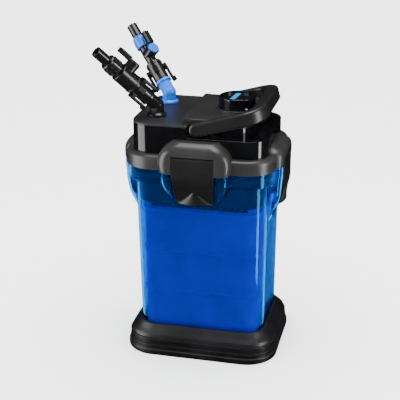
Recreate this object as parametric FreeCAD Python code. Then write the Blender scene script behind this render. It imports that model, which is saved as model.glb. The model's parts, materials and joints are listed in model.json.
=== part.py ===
import FreeCAD, Part
import math
import os

# Canister filter: a drafted box canister on a stepped foot, three media baskets inside, and a
# motor head held down by four clamps. The head carries a bail handle, a primer and two taps.
# Millimetres, +Z up, origin on the floor at the centre of the foot, front towards -Y.

V = FreeCAD.Vector
UP = V(0, 0, 1)
ACROSS = V(0, 1, 0)
RUNNING = 0.05                    # radial clearance of shafts and spigots that turn or slide
GAP = 0.4                         # clearance between bodies that only pass each other
WALL = 3.0                        # moulded wall thickness

# Foot
FOOT_W, FOOT_D, FOOT_R = 248.7, 202.2, 49.5
FOOT_MOUTH_W, FOOT_MOUTH_D, FOOT_MOUTH_R = 212.0, 165.0, 35.0
FOOT_TOP = 47.0
FOOT_SEAT = 6.0                   # height of the face that the canister stands on

# Canister and its collar
CAN_W, CAN_D, CAN_R = 203.8, 152.4, 30.5
CAN_TOP_W, CAN_TOP_D = 211.0, 160.3
CAN_FLOOR = 10.0                  # inside face of the canister's floor
COLLAR_W, COLLAR_D, COLLAR_R = 232.0, 186.0, 43.0
COLLAR_Z = 296.0
RIM_Z = 319.8

# Motor head and its flange
HEAD_W, HEAD_D, HEAD_R = 212.0, 167.5, 31.0
FLANGE_W, FLANGE_D, FLANGE_R = 237.0, 191.0, 46.0
FLANGE_Z, FLANGE_TOP = 320.0, 342.5
LEDGE_Z = 370.0                   # ledge that carries the handle
COVER_Z, COVER_TOP = 385.7, 388.7
DECK_TOP = 397.0                  # raised deck around the primer
DECK_LEFT, DECK_RIGHT, DECK_HALF = -20.0, 77.0, 72.0
BAY_LEFT = -15.0                  # left end of the bays that hold the handle's arms

# Skirt under the head, inside the canister's mouth
SKIRT_W, SKIRT_D, SKIRT_R = 196.0, 149.5, 27.0
SKIRT_Z = 258.5
HEAD_LOW, FLOOR_TOP = 318.0, 322.0            # underside of the head's walls, top of its floor
SPIGOT_LOW, GROOVE_LOW, GROOVE_TOP = 303.0, 307.0, 313.0

# Hoods over the clamps: face distance, half width, height of the top edge
FRONT_FACE, FRONT_HALF, FRONT_HOOD_TOP = 111.0, 55.0, 367.0
SIDE_FACE, SIDE_HALF, SIDE_HOOD_TOP = 127.0, 50.0, 352.0

# Clamps; a pair is for the front and rear ones, then for the side ones
CLAMP_HALF = 33.0
CLAMP_TIP_HALF = 29.0             # half width at the lower end
CLAMP_LEN = 79.0
CLAMP_STRAIGHT = (24.0, 46.0)     # upright stretch, before the plate bends in towards the canister
CLAMP_BEND_R, CLAMP_SLOPE = 60.0, math.radians(24.7)
CLAMP_THICK, CLAMP_TIP_THICK = 4.5, 3.2
CLAMP_PIVOT = 5.5                 # pivot below the clamp's top and behind its face
CLAMP_PIN_R = 2.0
CHANNEL_DEPTH = 10.5
CHANNEL_LOW_DEPTH = (24.0, 15.5)
CHANNEL_STRAIGHT = (45.0, 60.0)
FRONT_CLAMP_TOP, SIDE_CLAMP_TOP = 347.5, 333.0

# Handle
HANDLE_X, HANDLE_Z, HANDLE_TILT = -1.5, 381.9, 15.6
HANDLE_REACH = 107.9
ARM_OUT, ARM_IN, BAND = 84.0, 73.2, 22.0
GRIP_IN = 86.5
HANDLE_PIN_R = 4.0

# Primer
PRIMER_X, PRIMER_R, PRIMER_TOP = 45.5, 28.5, 417.5

# Cord gland in the rear wall
GLAND_X, GLAND_Z = 66.0, 354.0

# Taps: the bend of each elbow, tilt from the vertical, heading about +Z
TAP_X, TAP_Y, TAP_BEND_Z = -73.4, 37.0, 405.4
TAP_TILT = 45.5
OUTLET_HEADING, INLET_HEADING = 144.7, 217.0
TAP_LEN = 131.6
HOSE_R = 8.5                      # nozzle for 16 mm hose
SWIVEL_R = 12.0
COUPLING_R = 12.8
VALVE_S = 73.0                    # station of the valve along the flow
VALVE_HEAD = 4.6
LEVER_HEIGHT = 8.4
RELEASE_S, RELEASE_R = 42.0, 15.2  # pins of the release levers: station, distance from the axis
RELEASE_PIN_R = 1.0
SEAL_HEIGHTS = (356.0, 364.0)      # O-rings on each elbow's spigot

# Media baskets
BASKET_W, BASKET_D, BASKET_R = 187.0, 140.0, 24.0
BASKET_Z, BASKET_H = 39.5, 69.6
TUBE_R = 11.0

# Pump
PUMP_X = -18.0
PUMP_R = 27.0                     # pump chamber
WELL_LOW, WELL_TOP = 313.5, 361.0
STACK_LOW, STACK_TOP = 328.0, 352.0
SHAFT_R = 1.5
ROTOR_R = 11.0
SCREW_R = 1.5
SCREWS = [(PUMP_X + sx * 26.2, sy * 15.0) for sx in (-1, 1) for sy in (-1, 1)]


def outline(w, d, r, z, cx=0.0, cy=0.0):
    """Rounded rectangle as a wire at height z."""
    x, y = w / 2, d / 2
    k = r * (1 - math.sqrt(0.5))
    edges = []
    for sx, sy, along_x in ((1, -1, True), (1, 1, False), (-1, 1, True), (-1, -1, False)):
        corner = V(cx + sx * x, cy + sy * y, z)
        before = corner + (V(-sx * r, 0, 0) if along_x else V(0, -sy * r, 0))
        after = corner + (V(0, -sy * r, 0) if along_x else V(-sx * r, 0, 0))
        middle = corner + V(-sx * k, -sy * k, 0)
        edges.append((before, middle, after))
    parts = []
    for i, (before, middle, after) in enumerate(edges):
        parts.append(Part.Arc(before, middle, after).toShape())
        parts.append(Part.makeLine(after, edges[(i + 1) % 4][0]))
    return Part.Wire(parts)


def slab(w, d, r, z0, z1, cx=0.0, cy=0.0):
    return Part.Face(outline(w, d, r, z0, cx, cy)).extrude(V(0, 0, z1 - z0))


def loft(sections, ruled=False):
    return Part.makeLoft([outline(*s) for s in sections], True, ruled)


def box(x0, x1, y0, y1, z0, z1):
    return Part.makeBox(x1 - x0, y1 - y0, z1 - z0, V(x0, y0, z0))


def disc(r, z0, z1, x=0.0, y=0.0):
    return Part.makeCylinder(r, z1 - z0, V(x, y, z0))


def ring(r_out, r_in, z0, z1, x=0.0, y=0.0):
    return disc(r_out, z0, z1, x, y).cut(disc(r_in, z0 - 1, z1 + 1, x, y))


def bar_y(r, x, z, y0, y1):
    return Part.makeCylinder(r, y1 - y0, V(x, y0, z), ACROSS)


def union(shapes):
    first, rest = shapes[0], shapes[1:]
    return first.fuse(rest).removeSplitter() if rest else first


def group(shapes):
    return Part.makeCompound(shapes)


def across_x(corners, half):
    """Prism along X, from -half to half, over a closed outline of (y, z) corners."""
    wire = Part.makePolygon([V(-half, y, z) for y, z in corners + corners[:1]])
    return Part.Face(wire).extrude(V(2 * half, 0, 0))


def turned(shape, angle, centre=V(0, 0, 0), axis=UP):
    copy = shape.copy()
    copy.rotate(centre, axis, angle)
    return copy


def moved(shape, x, y, z):
    copy = shape.copy()
    copy.translate(V(x, y, z))
    return copy


def rounded(shape, radius, wanted):
    """Fillets the edges whose centre of mass passes the test."""
    edges = [e for e in shape.Edges if wanted(e.CenterOfMass, e)]
    return shape.makeFillet(radius, edges)


def at_height(*heights):
    def test(centre, edge):
        bounds = edge.BoundBox
        return any(abs(bounds.ZMin - z) < 0.01 and abs(bounds.ZMax - z) < 0.01 for z in heights)
    return test


# Foot and canister

def base_foot():
    steps = [(5.0, 9.5, 17.2), (10.0, 17.2, 18.6), (6.5, 18.6, 27.8), (12.0, 27.8, 29.2)]
    plinth = rounded(slab(FOOT_W, FOOT_D, FOOT_R, 0, 9.5), 1.6, at_height(0, 9.5))
    tiers = [slab(FOOT_W - s, FOOT_D - s, FOOT_R - s / 2, z0, z1) for s, z0, z1 in steps]
    skirt = loft([(FOOT_W - 9, FOOT_D - 9, FOOT_R - 4.5, 29.2),
                  (FOOT_W - 13, FOOT_D - 13, FOOT_R - 6.5, 34.0),
                  (FOOT_W - 24, FOOT_D - 24, FOOT_R - 10, 39.5),
                  (FOOT_MOUTH_W, FOOT_MOUTH_D, FOOT_MOUTH_R, FOOT_TOP)], True)
    foot = union([plinth] + tiers + [skirt])
    return foot.cut(slab(CAN_W + 1.6, CAN_D + 1.6, CAN_R + 0.8, FOOT_SEAT, FOOT_TOP + 1))


def lobe(half, face, side, inset=0.0):
    """Pocket that carries a clamp, tapering down into the canister's wall; front one, facing -Y."""
    if side:
        rows = [(320.0, half, face - 0.5), (298.0, half, face - 1), (280.0, half - 0.5, face - 2.5),
                (263.0, half - 2, face - 5), (247.0, half - 4, face - 11), (232.0, half - 6, face - 18),
                (220.0, half - 8, face - 25)]
    else:
        rows = [(320.0, half - 1, face - 1.5), (304.0, half - 1.5, face - 2), (292.0, half - 4, face - 5),
                (279.0, half - 10, face - 13), (266.0, half - 18, face - 24), (257.0, half - 23, face - 33)]
    deep = face - 50
    sections = []
    for z, h, f in rows:
        h, f = h - inset, f - inset
        sections.append((2 * h, f - deep, 15.0 - inset, z, 0.0, -(f + deep) / 2))
    return loft(sections)


def clamp_channel(face, top, side, grow=0.0):
    """Space in front of a pocket that the clamp's lever hangs in; it deepens where the lever leans in."""
    half = CLAMP_HALF + 0.6 + grow
    front = -face - 8
    deep = -face + CHANNEL_DEPTH + grow * 1.6
    low_deep = -face + CHANNEL_LOW_DEPTH[side] + grow * 1.1
    corners = [(front, 205), (front, RIM_Z + 1), (deep, RIM_Z + 1), (deep, top - CHANNEL_STRAIGHT[side]),
               (low_deep, top - CLAMP_LEN), (low_deep, 205)]
    return across_x(corners, half)


def hook_notch(face, top, grow=0.0):
    """Pocket that the clamp's hook catches in."""
    return box(-25 - grow, 25 + grow, -face + CHANNEL_DEPTH - 0.5, -face + 17.5 + grow,
               top - 58.5 - grow, top - 50.6 + grow)


SIDES = (("front", 0.0, FRONT_FACE, FRONT_HALF, FRONT_HOOD_TOP, FRONT_CLAMP_TOP, False),
         ("right", 90.0, SIDE_FACE, SIDE_HALF, SIDE_HOOD_TOP, SIDE_CLAMP_TOP, True),
         ("rear", 180.0, FRONT_FACE, FRONT_HALF, FRONT_HOOD_TOP, FRONT_CLAMP_TOP, False),
         ("left", 270.0, SIDE_FACE, SIDE_HALF, SIDE_HOOD_TOP, SIDE_CLAMP_TOP, True))


def canister():
    outer = [loft([(CAN_W, CAN_D, CAN_R, FOOT_SEAT), (CAN_TOP_W, CAN_TOP_D, CAN_R + 3, COLLAR_Z + 2)], True)]
    collar = slab(COLLAR_W, COLLAR_D, COLLAR_R, COLLAR_Z, RIM_Z)
    outer.append(rounded(collar, 2.5, at_height(COLLAR_Z)))
    two = 2 * WALL
    hollow = [loft([(CAN_W - two, CAN_D - two, CAN_R - WALL, CAN_FLOOR),
                    (CAN_TOP_W - two, CAN_TOP_D - two, CAN_R, COLLAR_Z + 4)], True),
              slab(COLLAR_W - two, COLLAR_D - two, COLLAR_R - WALL, COLLAR_Z + WALL, RIM_Z + 1)]
    cuts = []
    for _, angle, face, half, _, top, side in SIDES:
        outer.append(turned(lobe(half, face, side).common(box(-99, 99, -150, 0, 200, RIM_Z)), angle))
        inner = lobe(half, face, side, WALL).cut(clamp_channel(face, top, side, WALL))
        inner = inner.cut(hook_notch(face, top, WALL))
        hollow.append(turned(inner, angle))
        cuts.append(turned(clamp_channel(face, top, side), angle))
        cuts.append(turned(hook_notch(face, top), angle))
    body = union(outer)
    for cut in cuts + hollow:
        body = body.cut(cut)
    ribs = [box(x - WALL / 2, x + WALL / 2, -50, 50, CAN_FLOOR - 1, BASKET_Z - GAP) for x in (-40, 40)]
    return union([body] + ribs)


# Media baskets

def tube_hole(z0, z1):
    return disc(TUBE_R + 1.5, z0, z1, TAP_X, -TAP_Y)


def basket(level):
    z0 = BASKET_Z + level * BASKET_H
    z1 = z0 + BASKET_H - GAP
    tray = slab(BASKET_W, BASKET_D, BASKET_R, z0, z1)
    tray = tray.cut(slab(BASKET_W - 4.4, BASKET_D - 4.4, BASKET_R - 2.2, z0 + 2.2, z1 + 1))
    rim = slab(BASKET_W + 4.4, BASKET_D + 4.4, BASKET_R + 2.2, z1 - 2.8, z1 - 0.4)
    tray = tray.fuse(rim.cut(slab(BASKET_W - 1, BASKET_D - 1, BASKET_R - 0.5, z1 - 6, z1)))
    sleeve = disc(TUBE_R + 3.3, z0, z1, TAP_X, -TAP_Y)
    tray = tray.fuse(sleeve).cut(tube_hole(z0 - 1, z1 + 1))
    slots = []
    for i in range(-7, 8):
        x = i * 11.0
        low = -14.0 if x < -50 else -60.0
        slots.append(box(x - 2.5, x + 2.5, low, 60, z0 - 1, z0 + 3))
    return tray.cut(group(slots)).removeSplitter()


def basket_lid():
    """Slotted lid of the top basket, with an upright tab at each corner to lift it by."""
    z0 = BASKET_Z + 3 * BASKET_H
    plate = slab(BASKET_W, BASKET_D, BASKET_R, z0, z0 + 2.4)
    wall = slab(BASKET_W, BASKET_D, BASKET_R, z0 + 2, z0 + 8.4)
    wall = wall.cut(slab(BASKET_W - 5, BASKET_D - 5, BASKET_R - 2.5, z0, z0 + 10))
    block = box(-7, 7, -12, 12, z0, z0 + 9)
    tabs = [wall.common(moved(block, x, y, 0)) for x in (-84, 84) for y in (-60, 60)]
    lid = union([plate] + tabs).cut(tube_hole(z0 - 1, z0 + 4))
    slots = []
    for i in range(-7, 8):
        x = i * 11.0
        low = -14.0 if x < -50 else -60.0
        slots.append(box(x - 2.5, x + 2.5, low, 60, z0 - 1, z0 + 4))
    return lid.cut(group(slots))


def media_pad(level, low, high):
    z0 = BASKET_Z + level * BASKET_H
    pad = slab(BASKET_W - 8, BASKET_D - 8, BASKET_R - 4, z0 + low, z0 + high)
    return pad.cut(disc(TUBE_R + 4.5, z0, z0 + BASKET_H, TAP_X, -TAP_Y))


def intake_tube():
    tube = ring(TUBE_R, TUBE_R - 2, 22, 322, TAP_X, -TAP_Y)
    flare = Part.makeCone(TUBE_R + 5, TUBE_R, 10, V(TAP_X, -TAP_Y, 14))
    flare = flare.cut(Part.makeCone(TUBE_R + 3, TUBE_R - 2, 10, V(TAP_X, -TAP_Y, 14)))
    return union([tube, flare])


# Motor head

def hood(half, face, top, side):
    """Hood of the flange over one clamp, facing -Y, with sloping shoulders."""
    drop = top - FLANGE_Z
    if side:
        rows = [(FLANGE_Z, half, face), (top - drop * 0.55, half, face),
                (top - drop * 0.33, half - 3, face - 1.5), (top - drop * 0.12, half - 12, face - 7),
                (top, half - 20, face - 15)]
    else:
        rows = [(FLANGE_Z, half, face), (top - drop * 0.46, half, face),
                (top - drop * 0.30, half - 4, face - 1.5), (top - drop * 0.10, half - 14, face - 7),
                (top, half - 20, face - 14)]
    deep = face - 50
    return loft([(2 * h, f - deep, 15.0, z, 0.0, -(f + deep) / 2) for z, h, f in rows])


def clamp_pin(face, clamp_top, extra=0.0):
    """Hinge pin of one clamp, facing -Y."""
    end = CLAMP_HALF + 4.4 + extra
    start = V(-end, -face + CLAMP_PIVOT, clamp_top - CLAMP_PIVOT)
    return Part.makeCylinder(CLAMP_PIN_R, 2 * end, start, V(1, 0, 0))


def head_flange():
    ring_part = slab(FLANGE_W, FLANGE_D, FLANGE_R, FLANGE_Z, FLANGE_TOP)
    ring_part = rounded(ring_part, 8.0, at_height(FLANGE_TOP))
    flange = [ring_part]
    recesses = []
    for _, angle, face, half, top, clamp_top, side in SIDES:
        flange.append(turned(hood(half, face, top, side), angle))
        width = CLAMP_HALF + 0.5
        recess = box(-width, width, -face - 5, -face + 13, FLANGE_Z - 1, clamp_top + 0.5)
        recesses.append(turned(recess, angle))
        recesses.append(turned(clamp_pin(face, clamp_top, 0.2), angle))
    body = union(flange).cut(slab(HEAD_W + 0.2, HEAD_D + 0.2, HEAD_R + 0.1, FLANGE_Z - 1, 400))
    for recess in recesses:
        body = body.cut(recess)
    return body


def clamp_pins():
    return group([turned(clamp_pin(face, clamp_top), angle) for _, angle, face, _, _, clamp_top, _ in SIDES])


def thumb_scoop():
    """Arched thumb rest: a flared bell lying on the clamp's sloping lower face."""
    bell = Part.BSplineCurve()
    bell.interpolate([V(29, 0, 0), V(18, 0, 7), V(9, 0, 16), V(0, 0, 27)])
    profile = Part.Face(Part.Wire([bell.toShape(), Part.makeLine(V(0, 0, 27), V(0, 0, 0)),
                                   Part.makeLine(V(0, 0, 0), V(29, 0, 0))]))
    solid = profile.revolve(V(0, 0, 0), UP, 360)
    squash = FreeCAD.Matrix()
    squash.scale(1.0, 0.36, 1.0)
    return solid.transformGeometry(squash)


def clamp_plate(face, top, straight):
    """Lever plate facing -Y: upright, then bending in to a straight sloping lower end."""
    y, z0 = -face, top - straight
    run = (CLAMP_LEN - straight - CLAMP_BEND_R * math.sin(CLAMP_SLOPE)) / math.cos(CLAMP_SLOPE)

    def on_bend(radius, angle):
        return V(0, y + CLAMP_BEND_R - radius * math.cos(angle), z0 - radius * math.sin(angle))

    inner_r = CLAMP_BEND_R - CLAMP_THICK
    outer = [on_bend(CLAMP_BEND_R, a) for a in (0, CLAMP_SLOPE / 2, CLAMP_SLOPE)]
    inner = [on_bend(inner_r, a) for a in (CLAMP_SLOPE, CLAMP_SLOPE / 2, 0)]
    tip = outer[2] + V(0, math.sin(CLAMP_SLOPE), -math.cos(CLAMP_SLOPE)) * run
    tip_in = tip + V(0, math.cos(CLAMP_SLOPE), math.sin(CLAMP_SLOPE)) * CLAMP_TIP_THICK
    head = V(0, y, top - CLAMP_PIVOT)
    head_in = V(0, y + CLAMP_THICK, top - CLAMP_PIVOT)
    edges = [Part.makeLine(head, outer[0]), Part.Arc(*outer).toShape(), Part.makeLine(outer[2], tip),
             Part.makeLine(tip, tip_in), Part.makeLine(tip_in, inner[0]), Part.Arc(*inner).toShape(),
             Part.makeLine(inner[2], head_in), Part.makeLine(head_in, head)]
    plate = moved(Part.Face(Part.Wire(edges)).extrude(V(2 * CLAMP_HALF, 0, 0)), -CLAMP_HALF, 0, 0)
    sides = [(CLAMP_HALF, top), (CLAMP_HALF, z0), (CLAMP_TIP_HALF, tip.z), (CLAMP_TIP_HALF, tip.z - 9),
             (-CLAMP_TIP_HALF, tip.z - 9), (-CLAMP_TIP_HALF, tip.z), (-CLAMP_HALF, z0), (-CLAMP_HALF, top)]
    wire = Part.makePolygon([V(x, y - 5, z) for x, z in sides + sides[:1]])
    return plate.common(Part.Face(wire).extrude(V(0, 60, 0))), outer[2], tip


def clamp(face, top, straight):
    """Clamp lever facing -Y: its plate, hinge barrel, hook and thumb scoop."""
    plate, bend_end, tip = clamp_plate(face, top, straight)
    y = -face
    pivot = V(0, y + CLAMP_PIVOT, top - CLAMP_PIVOT)
    barrel = Part.makeCylinder(CLAMP_PIVOT, 2 * CLAMP_HALF, V(-CLAMP_HALF, pivot.y, pivot.z), V(1, 0, 0))
    hook = box(-24, 24, y + 9.6, y + 16.5, top - 56.0, top - 51.5)
    scoop = moved(turned(thumb_scoop(), math.degrees(CLAMP_SLOPE), axis=V(1, 0, 0)), 0, tip.y + 0.5, tip.z)
    outside = across_x([(y - 5, tip.z), (y - 5, top), (y + 3, top),
                        (bend_end.y + 2, bend_end.z), (tip.y + 2, tip.z)], 40)
    body = union([plate, barrel, hook, scoop.common(outside)])
    bore = Part.makeCylinder(CLAMP_PIN_R + RUNNING, 90, V(-45, pivot.y, pivot.z), V(1, 0, 0))
    return body.cut(bore)


def left_half(z0, z1, grow=0.0):
    """Outline of the head's left part, from its left end to the handle bays."""
    block = slab(HEAD_W + grow, HEAD_D + grow, HEAD_R + grow / 2, z0, z1)
    return block.common(box(-150, BAY_LEFT, -120, 120, z0, z1))


def deck_block(z0, z1, grow=0.0):
    width = DECK_RIGHT - DECK_LEFT + 30 + 2 * grow
    deck = slab(width, 2 * (DECK_HALF + grow), 22.0 + grow, z0, z1, DECK_RIGHT + grow - width / 2, 0)
    return deck.common(box(DECK_LEFT, 200, -120, 120, z0, z1))


def tap_sockets(radius, z0, z1):
    return [disc(radius, z0, z1, TAP_X, y) for y in (-TAP_Y, TAP_Y)]


def handle_pin_bores():
    radius = HANDLE_PIN_R + RUNNING
    return [bar_y(radius, HANDLE_X, HANDLE_Z, y0, y0 + 12) for y0 in (-74.0, DECK_HALF - 10.0)]


def motor_head():
    low = slab(HEAD_W, HEAD_D, HEAD_R, HEAD_LOW, LEDGE_Z)
    outer = union([low, left_half(LEDGE_Z, COVER_Z), deck_block(LEDGE_Z, COVER_Z)])
    outer = rounded(outer, 1.2, lambda c, e: at_height(LEDGE_Z)(c, e) and (c.x > 90 or abs(c.y) > 83))
    room = slab(HEAD_W - 7, HEAD_D - 7, HEAD_R - 3.5, HEAD_LOW - 1, LEDGE_Z - 3.5)
    attic = [left_half(LEDGE_Z - 4, COVER_Z - 2.5, -7).common(box(-150, BAY_LEFT - 4, -120, 120, 0, 500)),
             deck_block(LEDGE_Z - 4, COVER_Z - 2.5, -3.5).common(box(-60, 200, -120, 120, 0, 500))]
    head = outer.cut(room)
    for space in attic:
        head = head.cut(space)
    parts = [head] + tap_sockets(SWIVEL_R + 4, 345.0, COVER_Z)
    well = disc(PRIMER_R + 4, 366.0, COVER_Z, PRIMER_X)
    parts.append(well.cut(disc(PRIMER_R + 0.5, 369.0, COVER_Z + 1, PRIMER_X)))
    tilt = math.radians(HANDLE_TILT)
    rib_top = HANDLE_Z + (24 - HANDLE_X) * math.tan(tilt) - BAND / 2 / math.cos(tilt) - GAP
    parts += [box(24, 30, y0, y0 + 6, LEDGE_Z - 1, rib_top) for y0 in (-81.5, 75.5)]
    head = union(parts)
    for bore in tap_sockets(SWIVEL_R + RUNNING, 340.0, 400.0):
        head = head.cut(bore)
    head = head.cut(disc(PRIMER_R + 0.5, 369.0, 400.0, PRIMER_X))
    head = head.cut(disc(7.0 + GAP, 360.0, 400.0, PRIMER_X))
    for bore in handle_pin_bores():
        head = head.cut(bore)
    return head.cut(bar_y(7.0, GLAND_X, GLAND_Z, 60.0, 100.0))


def ramp_outline(bulges, z):
    """Outline of the ramp at height z: an S-shaped left edge, this far left of the deck at even steps."""
    count = len(bulges) - 1
    points = [V(DECK_LEFT - b, -DECK_HALF + 2 * DECK_HALF * i / count, z) for i, b in enumerate(bulges)]
    curve = Part.BSplineCurve()
    curve.interpolate(points)
    right = DECK_LEFT + 6
    corners = [points[-1], V(right, DECK_HALF, z), V(right, -DECK_HALF, z), points[0]]
    return Part.Wire([curve.toShape()] + [Part.makeLine(a, b) for a, b in zip(corners, corners[1:])])


def top_cover():
    """Matte cover: low over the taps, ramping up an S-shaped edge to the deck around the primer."""
    low = left_half(COVER_Z, COVER_TOP)
    low = rounded(low, 1.4, lambda c, e: at_height(COVER_TOP)(c, e) and c.x < BAY_LEFT - 0.1)
    deck = deck_block(COVER_Z, DECK_TOP)
    deck = rounded(deck, 1.8, lambda c, e: at_height(DECK_TOP)(c, e) and c.x > DECK_LEFT + 0.1)
    slope = Part.makeLoft([ramp_outline((5, 12, 10, 9, 10, 12), COVER_TOP - 1),
                           ramp_outline((1.5, 4, 2.5, 2.5, 2.5, 2), DECK_TOP)], True, True)
    cover = union([low, deck, slope])
    guard = ring(PRIMER_R + 4.0, PRIMER_R + 0.5, DECK_TOP - 1, DECK_TOP + 3.0, PRIMER_X)
    guard = rounded(guard, 1.4, lambda c, e: at_height(DECK_TOP + 3.0)(c, e))
    cover = cover.fuse(guard).cut(disc(PRIMER_R + 0.5, COVER_Z - 1, DECK_TOP + 5, PRIMER_X))
    hollow = deck_block(COVER_Z - 1, DECK_TOP - 3, -3).cut(disc(PRIMER_R + 4, 300, 500, PRIMER_X))
    cover = cover.cut(hollow)
    for bore in tap_sockets(SWIVEL_R + RUNNING, 380.0, 400.0) + handle_pin_bores():
        cover = cover.cut(bore)
    return cover


def head_floor():
    """Plate that closes the head from below, with the spigot that enters the collar and a deep skirt."""
    plate = slab(HEAD_W - 8, HEAD_D - 8, HEAD_R - 4, HEAD_LOW, FLOOR_TOP)
    spigot = slab(COLLAR_W - 14, COLLAR_D - 14, COLLAR_R - 7, SPIGOT_LOW, HEAD_LOW)
    spigot = spigot.cut(slab(COLLAR_W - 22, COLLAR_D - 22, COLLAR_R - 11, SPIGOT_LOW - 1, HEAD_LOW - 4))
    groove = slab(COLLAR_W, COLLAR_D, COLLAR_R, GROOVE_LOW, GROOVE_TOP).cut(
        slab(COLLAR_W - 19, COLLAR_D - 19, COLLAR_R - 9.5, GROOVE_LOW - 1, GROOVE_TOP + 1))
    skirt = slab(SKIRT_W, SKIRT_D, SKIRT_R, SKIRT_Z, HEAD_LOW - 3)
    skirt = skirt.cut(slab(SKIRT_W - 5, SKIRT_D - 5, SKIRT_R - 2.5, SKIRT_Z - 1, HEAD_LOW - 2))
    floor = union([plate, spigot, skirt]).cut(groove)
    holes = [disc(ROTOR_R + 3.2, 300, 330, PUMP_X), disc(PUMP_R + 0.1, 312, WELL_LOW + 3.55, PUMP_X)]
    holes += tap_sockets(TUBE_R + 0.1, 300, 330) + [disc(SCREW_R, 313, 320, x, y) for x, y in SCREWS]
    for hole in holes:
        floor = floor.cut(hole)
    return floor


def head_gasket():
    low, high = GROOVE_LOW + 0.4, GROOVE_TOP - 0.4
    seal = slab(COLLAR_W - 6.4, COLLAR_D - 6.4, COLLAR_R - 3.2, low, high)
    seal = rounded(seal, 2.0, at_height(low, high))
    return seal.cut(slab(COLLAR_W - 18.6, COLLAR_D - 18.6, COLLAR_R - 9.3, low - 1, high + 1))


def cord_gland():
    """Rubber gland in the rear wall of the head; the mains lead is not part of the model."""
    wall = HEAD_D / 2
    body = bar_y(9.5, GLAND_X, GLAND_Z, wall + 0.2, wall + 3.2)
    neck = bar_y(6.9, GLAND_X, GLAND_Z, wall - 6, wall + 0.4)
    lip = bar_y(9.0, GLAND_X, GLAND_Z, wall - 8, wall - 4.2)
    nose = Part.makeCone(7.0, 5.2, 7.0, V(GLAND_X, wall + 3.2, GLAND_Z), ACROSS)
    return union([body, neck, lip, nose]).cut(bar_y(3.2, GLAND_X, GLAND_Z, 60.0, 120.0))


# Pump

def rotor_well():
    bore = ROTOR_R + 1.2
    cup = ring(ROTOR_R + 3.0, bore, WELL_LOW + 2.5, WELL_TOP - 3, PUMP_X)
    lid = disc(ROTOR_R + 3.0, WELL_TOP - 3, WELL_TOP, PUMP_X)
    flange = ring(PUMP_R, bore, WELL_LOW, WELL_LOW + 3.5, PUMP_X)
    return union([cup, lid, flange])


def stator_stack():
    """Laminated C-frame around the rotor well."""
    frame = box(PUMP_X - 30, PUMP_X + 30, -18, 50, STACK_LOW, STACK_TOP)
    frame = frame.cut(box(PUMP_X - 16, PUMP_X + 16, 17, 38, STACK_LOW - 1, STACK_TOP + 1))
    return frame.cut(disc(ROTOR_R + 3.4, STACK_LOW - 1, STACK_TOP + 1, PUMP_X))


def stator_coil():
    """Winding around the rear limb of the stack."""
    winding = slab(31.0, 19.5, 4.0, STACK_LOW - 4.5, STACK_TOP + 4.5, PUMP_X, 44.0)
    return winding.cut(box(PUMP_X - 31, PUMP_X + 31, 37, 51, STACK_LOW - 0.5, STACK_TOP + 0.5))


def impeller_shaft():
    return disc(SHAFT_R, 300.0, WELL_TOP - 4, PUMP_X)


def shaft_bushes():
    upper = ring(ROTOR_R + 1.1, SHAFT_R + RUNNING, WELL_TOP - 8, WELL_TOP - 3.2, PUMP_X)
    lower = ring(4.0, SHAFT_R + RUNNING, 298.6, 303.0, PUMP_X)
    return group([upper, lower])


def impeller_magnet():
    return ring(ROTOR_R, SHAFT_R + RUNNING, 319.0, 351.5, PUMP_X)


def around_pump(shape, count):
    return [turned(shape, 360.0 * i / count, V(PUMP_X, 0, 0)) for i in range(count)]


def impeller_blades():
    hub = ring(6.0, SHAFT_R + RUNNING, 304.0, 318.6, PUMP_X)
    plate = ring(20.0, 3.0, 311.5, 313.0, PUMP_X)
    blades = around_pump(box(PUMP_X + 4, PUMP_X + 20, -0.9, 0.9, 304.5, 312), 6)
    return union([hub, plate] + blades)


def impeller_cover():
    top = WELL_LOW - 0.1
    cup = ring(PUMP_R, PUMP_R - 4, 300.0, top, PUMP_X)
    plate = ring(PUMP_R, 9.0, 297.0, 300.0, PUMP_X)
    hub = ring(6.0, 4.05, 297.5, 301.0, PUMP_X)
    spokes = around_pump(box(PUMP_X + 5.0, PUMP_X + 10, -1.2, 1.2, 297.5, 299.9), 3)
    ears = [disc(4.2, 306.0, top, x, y).cut(disc(PUMP_R - 4, 290, 330, PUMP_X)) for x, y in SCREWS]
    cover = union([cup, plate, hub] + spokes + ears)
    for x, y in SCREWS:
        cover = cover.cut(disc(SCREW_R + 0.1, 290, 330, x, y))
    return cover


def cover_screws():
    screws = []
    for x, y in SCREWS:
        screws.append(union([disc(SCREW_R, 305.8, 319.0, x, y), disc(2.8, 303.6, 305.9, x, y)]))
    return group(screws)


# Primer

def primer_button():
    cap = disc(PRIMER_R, PRIMER_TOP - 33.0, PRIMER_TOP, PRIMER_X)
    cap = rounded(cap, 1.6, at_height(PRIMER_TOP))
    dish = disc(PRIMER_R - 4.2, PRIMER_TOP - 3.4, PRIMER_TOP + 1, PRIMER_X)
    inside = disc(PRIMER_R - 3.0, PRIMER_TOP - 40.0, PRIMER_TOP - 6.2, PRIMER_X)
    rod = disc(7.0, 344.0, PRIMER_TOP - 5.0, PRIMER_X)
    return union([cap.cut(dish).cut(inside), rod])


def primer_inlay():
    bar = slab(8.0, 38.0, 2.0, PRIMER_TOP - 3.35, PRIMER_TOP - 2.5)
    bar = moved(turned(bar, -6.0), PRIMER_X - 3.5, 2.0, 0)
    return bar


def primer_piston():
    return ring(19.6, 7.05, 345.0, 353.0, PRIMER_X).fuse(disc(10.0, 341.0, 345.0, PRIMER_X)).cut(
        disc(7.05, 343.9, 360, PRIMER_X))


def primer_cylinder():
    barrel = ring(22.6, 20.0, 324.0, 365.8, PRIMER_X)
    return union([barrel, ring(22.6, 3.0, 322.2, 324.2, PRIMER_X)])


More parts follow.
